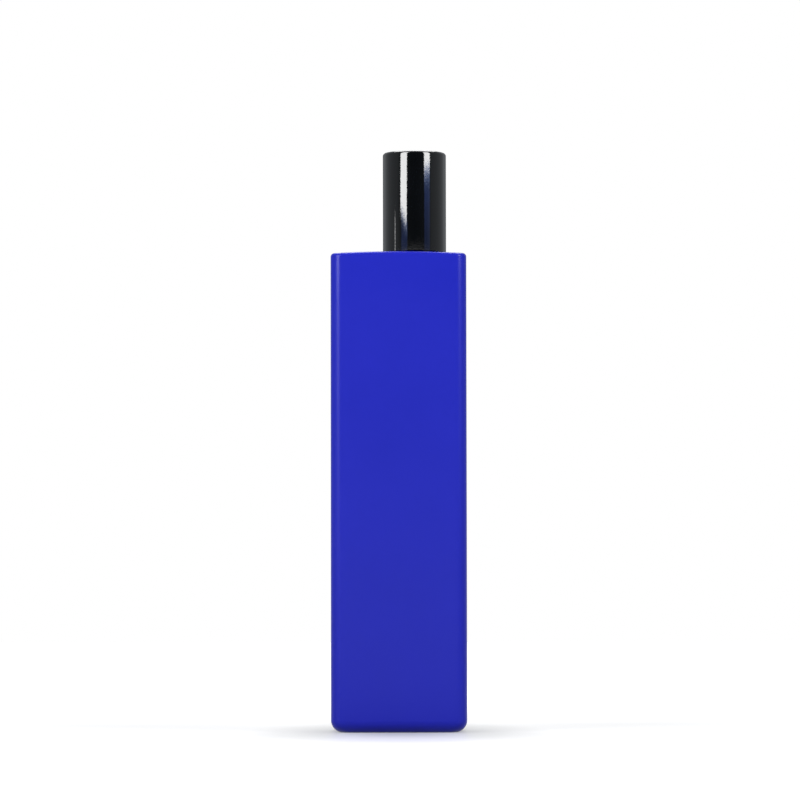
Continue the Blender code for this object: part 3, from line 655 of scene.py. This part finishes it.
def neck_rings():
    """Up the outside of the neck, over its rim and down the bore."""
    top = GLASS_HIGH.z
    bead = top - BEAD_HEIGHT
    step = NECK_BEAD - NECK_WAIST
    corners = [
        (NECK_WAIST + NECK_EASE, SHOULDER, 0.0),
        (NECK_WAIST, SHOULDER + NECK_EASE, 0.4 * MM),
        (NECK_WAIST, bead - step, 0.4 * MM),
        (NECK_BEAD, bead, 0.3 * MM),
        (NECK_BEAD, top, 0.5 * MM),
        (NECK_BORE, top, 0.3 * MM),
        (NECK_BORE, SHOULDER - GLASS_ROOF, 0.5 * MM),
        (NECK_BORE + 1.0 * MM, SHOULDER - GLASS_ROOF, 0.0),
    ]
    outline = eased(corners, closed=False)[1:]
    return [neck_ring(r, z) for r, z in outline]


def cavity_rings():
    """From under the neck out, down the inner walls and over the floor."""
    fillets = []
    for angle in quarter(FILLET_STEPS):
        inset = GLASS_WALL + CAVITY_FILLET * (1 - math.sin(angle))
        corner = corner_radius(CAVITY_EDGE, inset - GLASS_WALL)
        fillets.append((inset, corner, CAVITY_FILLET * (1 - math.cos(angle))))
    roof = SHOULDER - GLASS_ROOF
    rings = [square_ring(inset, corner, roof - drop) for inset, corner, drop in fillets]
    rings += [square_ring(inset, corner, GLASS_FLOOR + rise) for inset, corner, rise in fillets[::-1]]
    return rings + [[(0.0, 0.0, GLASS_FLOOR)]]


def glass_bottle(material):
    """Thick square glass, hollow, with its push-up, domed shoulder and crimp neck."""
    rings = base_rings() + wall_rings() + shoulder_rings() + neck_rings() + cavity_rings()
    bm = skin_rings(rings)
    return make_object("lacquered_glass_body", bm, material, "bottle", "glass_bottle")


# ======================================================================
# The cap
# ======================================================================
def cap_shell(material):
    """The glossy outer cup, open below."""
    radius = (SHELL_HIGH.x - SHELL_LOW.x) / 2
    bore = radius - SHELL_WALL
    ceiling = SHELL_HIGH.z - SHELL_TOP
    corners = [
        (0.0, ceiling, 0.0),
        (bore, ceiling, SHELL_EDGE / 2),
        (bore, SHELL_LOW.z, 0.12 * MM),
        (radius, SHELL_LOW.z, 0.15 * MM),
        (radius, SHELL_HIGH.z, SHELL_EDGE),
        (0.0, SHELL_HIGH.z, 0.0),
    ]
    bm = turn(eased(corners, closed=False, steps=8), FINE_TURN, closed=False)
    return make_object("cap_gloss_shell", bm, material, "cap", "cap_shell")


def cap_liner(material):
    """The inner cup. Soft ribs grip the ferrule and a ledge above them rests on it."""
    points = 12 * RIB_COUNT
    outer = (LINER_HIGH.x - LINER_LOW.x) / 2
    bore = outer - LINER_WALL
    ceiling = LINER_HIGH.z - LINER_TOP
    ledge = FERRULE_HIGH.z + LEDGE_GAP
    rib_low = FERRULE_LOW.z - 0.1 * MM

    def ring(radius, level, rib=0.0):
        loop = []
        for i in range(points):
            angle = 2 * math.pi * i / points
            crest = max(0.0, math.cos(RIB_COUNT * angle)) ** 6
            reach = radius - rib * crest
            loop.append((AXIS.x + reach * math.cos(angle), AXIS.y + reach * math.sin(angle), level))
        return loop

    rings = [[(AXIS.x, AXIS.y, ceiling)]]
    top = eased([(0, ceiling, 0), (LEDGE_RADIUS, ceiling, 0.4 * MM), (LEDGE_RADIUS, ledge, 0)], False)
    rings += [ring(r, z) for r, z in top[1:]]
    rings += [ring(bore, ledge, RIB_DEPTH), ring(bore, rib_low, RIB_DEPTH)]
    rings.append(ring(bore, rib_low - 0.3 * MM))
    rest = [(bore, rib_low - 0.3 * MM, 0), (bore, LINER_LOW.z, 0.1 * MM)]
    rest += [(outer, LINER_LOW.z, 0.1 * MM), (outer, LINER_HIGH.z, 0.4 * MM), (0, LINER_HIGH.z, 0)]
    rings += [ring(r, z) for r, z in eased(rest, False)[1:-1]]
    rings.append([(AXIS.x, AXIS.y, LINER_HIGH.z)])
    bm = skin_rings(rings)
    return make_object("cap_ribbed_liner", bm, material, "cap", "cap_liner")


# ======================================================================
# The spray button and its nozzle
# ======================================================================
def nozzle_height():
    """The level of the nozzle's own axis."""
    return (NOZZLE_LOW.z + NOZZLE_HIGH.z) / 2


def bore_cutter(radius, start, end, level):
    """A round rod along y for cutting, at a level on the pump's axis."""
    bm = bmesh.new()
    depth = end - start
    bmesh.ops.create_cone(bm, cap_ends=True, segments=64, radius1=radius, radius2=radius, depth=depth)
    bmesh.ops.rotate(bm, verts=bm.verts, matrix=Matrix.Rotation(math.pi / 2, 3, "X"))
    bmesh.ops.translate(bm, verts=bm.verts, vec=(AXIS.x, (start + end) / 2, level))
    mesh = bpy.data.meshes.new("cutter")
    bm.to_mesh(mesh)
    bm.free()
    cutter = bpy.data.objects.new("cutter", mesh)
    bpy.context.scene.collection.objects.link(cutter)
    return cutter


def cut_and_keep(piece, cutters):
    """Applies Boolean cuts and a small bevel to a piece, then removes the cutters."""
    for cutter in cutters:
        hole = piece.modifiers.new("hole", "BOOLEAN")
        hole.operation = "DIFFERENCE"
        hole.solver = "EXACT"
        hole.object = cutter
    ease = piece.modifiers.new("ease", "BEVEL")
    ease.width = 0.08 * MM
    ease.segments = 2
    ease.limit_method = "ANGLE"
    ease.angle_limit = math.radians(50)
    graph = bpy.context.evaluated_depsgraph_get()
    finished = bpy.data.meshes.new_from_object(piece.evaluated_get(graph))
    piece.modifiers.clear()
    piece.data = finished
    for cutter in cutters:
        bpy.data.objects.remove(cutter)
    finished.set_sharp_from_angle(angle=math.radians(30))
    return piece


def spray_button(material):
    """The finger button: dished on top, hollow below, with a duct out to the nozzle's pocket."""
    radius = (BUTTON_HIGH.x - BUTTON_LOW.x) / 2
    recess = radius - BUTTON_SKIRT
    low, high = BUTTON_LOW.z, BUTTON_HIGH.z
    socket_low = low + SKIRT_DEPTH
    socket_high = socket_low + SOCKET_DEPTH
    duct_top = nozzle_height() + DUCT_RADIUS / 2
    corners = [
        (0.0, duct_top, 0.0),
        (DUCT_RADIUS, duct_top, 0.1 * MM),
        (DUCT_RADIUS, socket_high, 0.05 * MM),
        (SOCKET_RADIUS, socket_high, 0.1 * MM),
        (SOCKET_RADIUS, socket_low, 0.15 * MM),
        (recess, socket_low, 0.3 * MM),
        (recess, low, 0.1 * MM),
        (radius, low, 0.15 * MM),
        (radius, high, 0.55 * MM),
        (DISH_RADIUS + 0.15 * MM, high, 0.25 * MM),
    ]
    outline = eased(corners, closed=False)[:-1]
    sphere = (DISH_RADIUS**2 + DISH_DEPTH**2) / (2 * DISH_DEPTH)
    centre = high - DISH_DEPTH + sphere
    for step in range(DISH_STEPS + 1):
        r = DISH_RADIUS * (1 - step / DISH_STEPS)
        outline.append((r, centre - math.sqrt(sphere**2 - r**2)))
    bm = turn(outline, FINE_TURN, closed=False)
    button = make_object("finger_button", bm, material, "button", "spray_button")
    level = nozzle_height()
    pocket = (NOZZLE_HIGH.x - NOZZLE_LOW.x) / 2 + POCKET_GAP
    front = AXIS.y - radius
    back = NOZZLE_HIGH.y + SEAT_GAP / 2
    cutters = [bore_cutter(pocket, front - 1 * MM, back, level)]
    cutters.append(bore_cutter(DUCT_RADIUS * 0.8, front, AXIS.y, level))
    return cut_and_keep(button, cutters)


def nozzle_insert(material):
    """The cup in the button's pocket, with a countersunk orifice. It is turned, then laid along -y."""
    radius = (NOZZLE_HIGH.x - NOZZLE_LOW.x) / 2
    front = AXIS.y - NOZZLE_LOW.y
    back = AXIS.y - NOZZLE_HIGH.y
    corners = [
        (ORIFICE, front - 0.3 * MM, 0.05 * MM),
        (ORIFICE * 2.6, front - 0.12 * MM, 0.06 * MM),
        (radius * 0.62, front - 0.12 * MM, 0.05 * MM),
        (radius * 0.7, front, 0.05 * MM),
        (radius, front, 0.15 * MM),
        (radius, back, 0.1 * MM),
        (radius * 0.6, back, 0.05 * MM),
        (radius * 0.6, front - 0.9 * MM, 0.1 * MM),
        (ORIFICE, front - 0.7 * MM, 0.05 * MM),
    ]
    bm = turn(eased(corners, steps=4), 64)
    bmesh.ops.translate(bm, verts=bm.verts, vec=-AXIS)
    bmesh.ops.rotate(bm, verts=bm.verts, matrix=Matrix.Rotation(math.pi / 2, 3, "X"))
    bmesh.ops.translate(bm, verts=bm.verts, vec=AXIS + UP * nozzle_height())
    return make_object("mist_nozzle", bm, material, "button", "nozzle_insert")


# ======================================================================
# The crimped ferrule and the pump
# ======================================================================
def crimp_ferrule(material):
    """A spun aluminium cup. A collet has pressed shallow pleats into its lip."""
    outer = (FERRULE_HIGH.x - FERRULE_LOW.x) / 2
    inner = outer - FERRULE_SHEET
    top = FERRULE_HIGH.z
    lip = FERRULE_LOW.z
    tuck = outer - 0.68 * MM
    corners = [
        (FERRULE_HOLE, top - FERRULE_SHEET, 0.08 * MM),
        (inner, top - FERRULE_SHEET, 0.4 * MM),
        (inner, lip + 1.0 * MM, 0.3 * MM),
        (tuck, lip + 0.25 * MM, 0.05 * MM),
        (tuck + 0.1 * MM, lip, 0.08 * MM),
        (outer, lip + 0.75 * MM, 0.5 * MM),
        (outer, top, 0.5 * MM),
        (FERRULE_HOLE, top, 0.1 * MM),
    ]
    bm = turn(eased(corners), FINE_TURN * 2 - FINE_TURN % PLEATS)
    for vert in bm.verts:
        out = vert.co - AXIS
        share = max(0.0, 1 - (vert.co.z - lip) / PLEAT_REACH)
        wave = 0.5 - 0.5 * math.cos(PLEATS * math.atan2(out.y, out.x))
        dent = PLEAT_DEPTH * share * wave
        flat = Vector((out.x, out.y, 0.0)).normalized()
        if out.xy.length > inner - 0.5 * MM:
            vert.co -= flat * dent
    return make_object("crimped_ferrule", bm, material, "bottle", "crimp_ferrule")


def coil_spring(name, node, wire, turns, material, body):
    """A compression spring with its end turns closed up."""
    low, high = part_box(node)
    mean = (high.x - low.x) / 2 - wire / 2
    count = COIL_FACETS * turns
    span = high.z - low.z - wire
    centres = []
    for i in range(count + 1):
        share = i / count
        pitch = share - math.sin(2 * math.pi * share) / (2 * math.pi) * END_CLOSING
        angle = 2 * math.pi * turns * share
        across = Vector((math.cos(angle), math.sin(angle), 0.0)) * mean
        centres.append(AXIS + across + UP * (low.z + wire / 2 + span * pitch))
    rings = []
    for i, centre in enumerate(centres):
        angle = 2 * math.pi * turns * i / count
        out = Vector((math.cos(angle), math.sin(angle), 0.0))
        angles = [2 * math.pi * k / WIRE_SIDES for k in range(WIRE_SIDES)]
        rings.append([centre + (out * math.cos(a) + UP * math.sin(a)) * wire / 2 for a in angles])
    return make_object(name, skin_rings(rings), material, body, node, 60)


def springs(material):
    """Both springs, each given a mesh of its own."""
    coil = coil_spring("return_coil", "return_spring", RETURN_WIRE, RETURN_TURNS, material, "bottle")
    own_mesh(coil)
    coil = coil_spring("outlet_coil", "outlet_spring", OUTLET_WIRE, OUTLET_TURNS, material, "pump_core")
    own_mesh(coil)


def dip_tube(material):
    """Straight in its socket, then bending to the side of the bottle's floor."""
    high, low = TUBE_HIGH.z, TUBE_LOW.z
    bend = high - TUBE_STRAIGHT
    reach = TUBE_HIGH.x - TUBE_RADIUS - AXIS.x
    centres = [AXIS + UP * high]
    for i in range(TUBE_STOPS + 1):
        share = i / TUBE_STOPS
        across = Vector((reach * share**TUBE_BEND, 0.0, 0.0))
        centres.append(AXIS + across + UP * (bend + (low - bend) * share))
    outside = tube_along(centres, TUBE_RADIUS, TUBE_SIDES, -UP)
    inside = tube_along(centres, TUBE_BORE, TUBE_SIDES, -UP)
    bm = skin_rings(outside + inside[::-1], closed=True)
    return make_object("suction_tube", bm, material, "bottle", "dip_tube")


def valve_rod(material):
    """The CAD rod keeps its fluted top, so it is only given its finish."""
    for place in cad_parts["valve_rod"].material_slots:
        place.material = material


def pump_pieces(plastic, steel, rubber):
    """The pump's turned pieces, each eased and ridden on its own body."""
    refine_turned("housing_barrel", "pump_housing", plastic, "bottle")
    refine_turned("stem_guide", "stem_retainer", plastic, "bottle")
    refine_turned("hollow_stem", "stem", plastic, "pump_core")
    refine_turned("lipped_piston", "piston", plastic, "piston", 0.03 * MM)
    refine_turned("rim_gasket", "neck_gasket", rubber, "bottle", 0.12 * MM)
    refine_turned("check_ball", "inlet_ball", steel, "inlet_ball", 0.25 * MM)
    valve_rod(plastic)


# ======================================================================
# Floor, lights and camera
# ======================================================================
STAGE_RADIUS = 8.0
STAGE_SIDES = 96
SHADE_SQUASH = 0.3  # how much the shade's depth counts beside its width
BOX_DISTANCE = 0.62
LEFT_AZIMUTH = -37.5
RIGHT_AZIMUTH = 47.0
CAMERA_LENS = 202.2
CAMERA_DISTANCE = 1.171
CAMERA_HEIGHT = 26.5 * MM
CAMERA_PITCH = math.radians(2.921)
CAMERA_ROLL = math.radians(0.09)
CAMERA_SIDE = 0.35 * MM


def ground_distance(tree, squash=1.0):
    """How far a point of the floor lies from the bottle's middle, its depth squashed."""
    scaled = tree.nodes.new("ShaderNodeVectorMath")
    scaled.operation = "MULTIPLY"
    scaled.inputs[1].default_value = (1.0, squash, 1.0)
    tree.links.new(object_point(tree), scaled.inputs[0])
    length = tree.nodes.new("ShaderNodeVectorMath")
    length.operation = "LENGTH"
    tree.links.new(scaled.outputs["Vector"], length.inputs[0])
    return length.outputs["Value"]


def pale_floor():
    """Pale paper with a painted glow, dimmed round the bottle as painted shadow, meeting the white
    behind.
    """
    bm = bmesh.new()
    bmesh.ops.create_circle(bm, cap_ends=True, segments=STAGE_SIDES, radius=STAGE_RADIUS)
    mesh = bpy.data.meshes.new("floor")
    bm.to_mesh(mesh)
    bm.free()
    floor = bpy.data.objects.new("floor", mesh)
    bpy.context.scene.collection.objects.link(floor)
    finish = Finish("white_paper_painted_glow_and_shade", (0.2, 0.2, 0.202), 0.34)
    # The floor glows: its emission is painted light, not a lamp.
    finish.set(Emission_Color=(1.0, 1.0, 1.0, 1.0))
    # painted contact shadow: the glow is dimmer in an oval round the bottle's foot
    near = finish.spread(ground_distance(finish.tree, SHADE_SQUASH), 0.22, 0.57, 0.006, 0.040)
    # painted glow that brightens the floor further away from the bottle
    painted_far_glow = finish.spread(ground_distance(finish.tree), 0.0, 0.45, 0.11, 0.45)
    finish.wire(math_node(finish.tree, "ADD", near, painted_far_glow), "Emission Strength")
    mesh.materials.append(finish.material)


def soft_box(name, place, aim, size, radiance, colour=(1.0, 1.0, 1.0), roll=0.0):
    """A soft box at a place, facing a point. Its size is its width and height."""
    lamp = bpy.data.lights.new(name, "AREA")
    lamp.shape = "RECTANGLE"
    lamp.size, lamp.size_y = size
    lamp.energy = radiance * math.pi * lamp.size * lamp.size_y
    lamp.color = colour
    obj = bpy.data.objects.new(name, lamp)
    facing = (Vector(aim) - Vector(place)).to_track_quat("-Z", "Y").to_matrix().to_4x4()
    obj.matrix_world = Matrix.Translation(place) @ facing @ Matrix.Rotation(roll, 4, "Z")
    obj.visible_camera = False
    bpy.context.scene.collection.objects.link(obj)
    return obj


def upright_box(name, azimuth, low, high, width, radiance, colour=(1.0, 1.0, 1.0), roll=0.0):
    """A soft box standing upright beside the bottle. Azimuth is from the front, + towards +X."""
    angle = math.radians(azimuth)
    middle = (low + high) / 2
    place = (BOX_DISTANCE * math.sin(angle), -BOX_DISTANCE * math.cos(angle), middle)
    soft_box(name, place, (0.0, 0.0, middle), (width, high - low), radiance, colour, roll)


def fading_box(name, azimuth, low, high, width, top, bottom, colour, roll=0.0, steps=5):
    """An upright box made of strips, whose radiance falls from its top to its bottom."""
    height = (high - low) / steps
    for step in range(steps):
        share = (step + 0.5) / steps
        radiance = top * (bottom / top) ** share
        edge = high - step * height
        strip = f"{name}_{step}"
        upright_box(strip, azimuth, edge - height, edge, width, radiance, colour, roll)


def studio_world():
    """White behind the bottle, grey at the sides and dark on the camera's side."""
    world = bpy.data.worlds.new("studio")
    bpy.context.scene.world = world
    world.use_nodes = True
    tree = world.node_tree
    tree.nodes.clear()
    leave = tree.nodes.new("ShaderNodeOutputWorld")
    light = tree.nodes.new("ShaderNodeBackground")
    ramp = tree.nodes.new("ShaderNodeValToRGB")
    split = tree.nodes.new("ShaderNodeSeparateXYZ")
    place = tree.nodes.new("ShaderNodeTexCoord")
    tree.links.new(place.outputs["Generated"], split.inputs["Vector"])
    toward_back = math_node(tree, "MULTIPLY_ADD", split.outputs["Y"], 0.5)
    toward_back.node.inputs[2].default_value = 0.5
    tree.links.new(toward_back, ramp.inputs["Fac"])
    stops = ((0.0, 0.06), (0.15, 0.12), (0.3, 0.42), (0.6, 0.5), (0.88, 0.6), (1.0, 0.15))
    elements = ramp.color_ramp.elements
    while len(elements) < len(stops):
        elements.new(0.5)
    for element, (position, value) in zip(elements, stops):
        element.position = position
        element.color = (value * 0.95, value, value * 1.05, 1.0)
    tree.links.new(ramp.outputs["Color"], light.inputs["Color"])
    seen = tree.nodes.new("ShaderNodeBackground")
    seen.inputs["Color"].default_value = (1.0, 1.0, 1.0, 1.0)
    path = tree.nodes.new("ShaderNodeLightPath")
    mix = tree.nodes.new("ShaderNodeMixShader")
    tree.links.new(path.outputs["Is Camera Ray"], mix.inputs["Fac"])
    tree.links.new(light.outputs["Background"], mix.inputs[1])
    tree.links.new(seen.outputs["Background"], mix.inputs[2])
    tree.links.new(mix.outputs["Shader"], leave.inputs["Surface"])


def place_camera():
    """A long lens, low and straight in front, tilted up a little."""
    data = bpy.data.cameras.new("camera")
    data.lens = CAMERA_LENS
    data.sensor_width = 36.0
    data.clip_start = 0.05
    data.clip_end = 50.0
    camera = bpy.data.objects.new("camera", data)
    bpy.context.scene.collection.objects.link(camera)
    place = Matrix.Translation((CAMERA_SIDE, -CAMERA_DISTANCE, CAMERA_HEIGHT))
    tilt = Matrix.Rotation(math.pi / 2 + CAMERA_PITCH, 4, "X")
    camera.matrix_world = place @ tilt @ Matrix.Rotation(-CAMERA_ROLL, 4, "Z")
    bpy.context.scene.camera = camera


def studio():
    """Two tall boxes whose light fades to blue below, a fill, a top box, the floor and the camera."""
    dim_blue = (0.17, 0.3, 1.0)
    pale_blue = (0.35, 0.5, 1.0)
    lean = math.radians(-6)
    pale_floor()
    upright_box("left_box", LEFT_AZIMUTH, 0.173, 0.75, 0.26, 19.5, roll=lean)
    fading_box("left_fade", LEFT_AZIMUTH, 0.155, 0.173, 0.255, 9.0, 1.2, pale_blue, lean)
    fading_box("left_sill", LEFT_AZIMUTH, 0.09, 0.155, 0.25, 1.1, 0.6, dim_blue, steps=3)
    upright_box("right_box", RIGHT_AZIMUTH, 0.250, 0.75, 0.24, 19.5)
    fading_box("right_fade", RIGHT_AZIMUTH, 0.225, 0.250, 0.235, 9.0, 2.0, pale_blue)
    fading_box("right_sill", RIGHT_AZIMUTH, 0.09, 0.225, 0.235, 1.6, 0.4, dim_blue, steps=4)
    upright_box("left_gap", -75.0, 0.05, 0.175, 0.03, 6.0)
    soft_box("front_fill", (0.0, -0.55, 0.015), (0.0, 0.0, 0.02), (0.5, 0.05), 3.8)
    soft_box("top_box", (0.0, 0.45, 0.95), (0.0, 0.0, 0.1), (0.7, 0.5), 13.0)
    studio_world()
    place_camera()
    bpy.context.scene.view_settings.view_transform = "Standard"


def build():
    """Makes every finish and piece, then the studio round them."""
    steel = turned_metal("drawn_steel", (0.42, 0.42, 0.43), (0.66, 0.66, 0.67), 0.22, 1500.0, 0.004 * MM)
    aluminium = turned_metal(
        "spun_aluminium", (0.50, 0.50, 0.51), (0.66, 0.66, 0.67), 0.22, 900.0, 0.006 * MM
    )
    button_black = black_plastic("black_button_plastic", 0.23, 2600.0)
    liner_black = black_plastic("black_liner_plastic", 0.5, 1500.0)
    natural = natural_plastic()
    glass_bottle(blue_lacquer())
    cap_shell(black_cap_coat())
    cap_liner(liner_black)
    spray_button(button_black)
    nozzle_insert(button_black)
    crimp_ferrule(aluminium)
    pump_pieces(natural, steel, gasket_rubber())
    springs(steel)
    dip_tube(tube_plastic())
    studio()


build()
